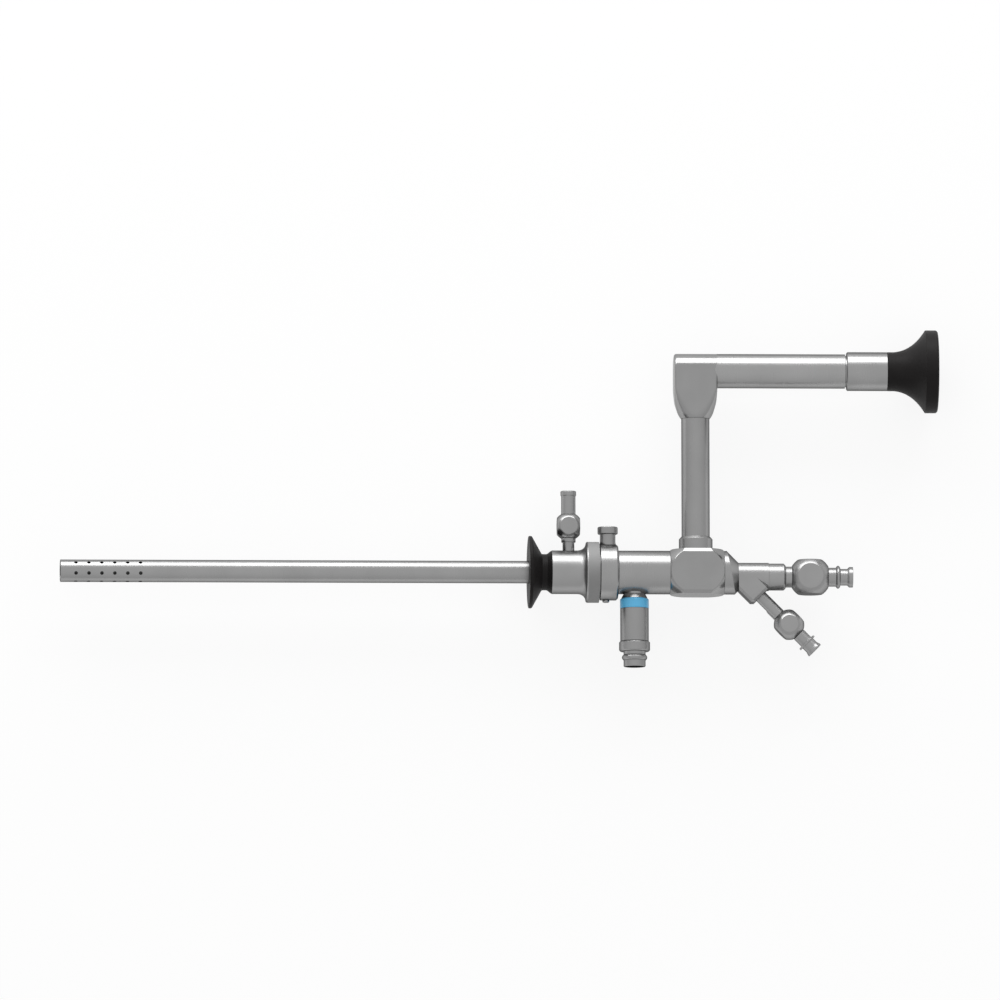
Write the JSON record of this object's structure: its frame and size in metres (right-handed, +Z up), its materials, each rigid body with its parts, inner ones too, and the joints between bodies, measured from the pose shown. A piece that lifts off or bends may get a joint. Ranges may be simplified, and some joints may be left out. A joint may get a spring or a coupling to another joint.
{
  "type": "rigid endoscope",
  "caption": "Rigid percutaneous endoscope with a perforated outer sheath, an offset parallel eyepiece, stopcocks, a light post and a straight working channel.",
  "frame": {"origin": "on the sheath axis at the front face of the finger disc, where the tube enters it", "axes": "+X along the shaft to the eyepiece, +Y from the shaft to the offset ocular, +Z up while the instrument lies on its side"},
  "size_m": [0.3393, 0.1309, 0.032],
  "materials": {
    "stainless_steel": "satin stainless steel, finely brushed",
    "bright_steel": "bright satin stainless steel of the ground shaft and valve trim",
    "black_plastic": "matte black high-temperature plastic",
    "blue_marker": "blue marker ring, semi-gloss",
    "seal_rubber": "black silicone seal",
    "optical_glass": "polished optical glass"
  },
  "bodies": {
    "endoscope": {"adaptor_snap_ring": "stainless_steel", "arm_collar": "stainless_steel", "block_nose": "stainless_steel", "block_prism": "optical_glass", "branch_luer": "stainless_steel", "branch_tube": "stainless_steel", "branch_valve_body": "stainless_steel", "branch_valve_retainer": "bright_steel", "channel_luer": "stainless_steel", "channel_sleeve": "stainless_steel", "channel_valve_body": "stainless_steel", "channel_valve_retainer": "bright_steel", "colour_ring": "blue_marker", "distal_window": "optical_glass", "elbow_housing": "stainless_steel", "elbow_prism": "optical_glass", "eyepiece_cup": "black_plastic", "fibre_bundle": "optical_glass", "finger_disc": "black_plastic", "hub_seal_ring": "seal_rubber", "inner_shaft_tube": "bright_steel", "irrigation_hose_connector": "stainless_steel", "irrigation_neck": "stainless_steel", "irrigation_valve_body": "stainless_steel", "irrigation_valve_retainer": "bright_steel", "lens_spacers": "bright_steel", "light_adaptor": "stainless_steel", "light_post_base": "stainless_steel", "light_post_sleeve": "stainless_steel", "light_window": "optical_glass", "lock_socket": "stainless_steel", "main_block": "stainless_steel", "main_tube": "stainless_steel", "ocular_lens": "optical_glass", "ocular_sleeve": "stainless_steel", "ocular_tube": "stainless_steel", "ocular_window": "optical_glass", "optic_tube": "bright_steel", "outer_sheath_tube": "bright_steel", "relay_lenses": "optical_glass", "rod_lenses": "optical_glass", "sheath_hub": "stainless_steel", "vertical_tube": "stainless_steel", "working_channel_tube": "bright_steel", "y_body": "stainless_steel"},
    "lock": {"lock_ring": "stainless_steel", "lock_knob": "stainless_steel", "lock_screw": "bright_steel"},
    "irrigation_key": {"irrigation_valve_plug": "bright_steel", "irrigation_valve_lever": "bright_steel"},
    "channel_key": {"channel_valve_plug": "bright_steel", "channel_valve_lever": "bright_steel"},
    "branch_key": {"branch_valve_plug": "bright_steel", "branch_valve_lever": "bright_steel"}
  },
  "joints": [
    {"name": "lock_turn", "type": "hinge", "parent": "endoscope", "child": "lock", "pos_m": [0.0311, 0, 0], "axis": [1, 0, 0], "range_deg": [0, 30]},
    {"name": "irrigation_valve_turn", "type": "hinge", "parent": "endoscope", "child": "irrigation_key", "pos_m": [0.0155, 0.0178, 0], "axis": [0, 0, 1], "range_deg": [0, 90]},
    {"name": "channel_valve_turn", "type": "hinge", "parent": "endoscope", "child": "channel_key", "pos_m": [0.10885, -0.0016, 0], "axis": [0, 0, 1], "range_deg": [-90, 0]},
    {"name": "branch_valve_turn", "type": "hinge", "parent": "endoscope", "child": "branch_key", "pos_m": [0.10069, -0.02009, 0], "axis": [0, 0, 1], "range_deg": [0, 90]}
  ]
}
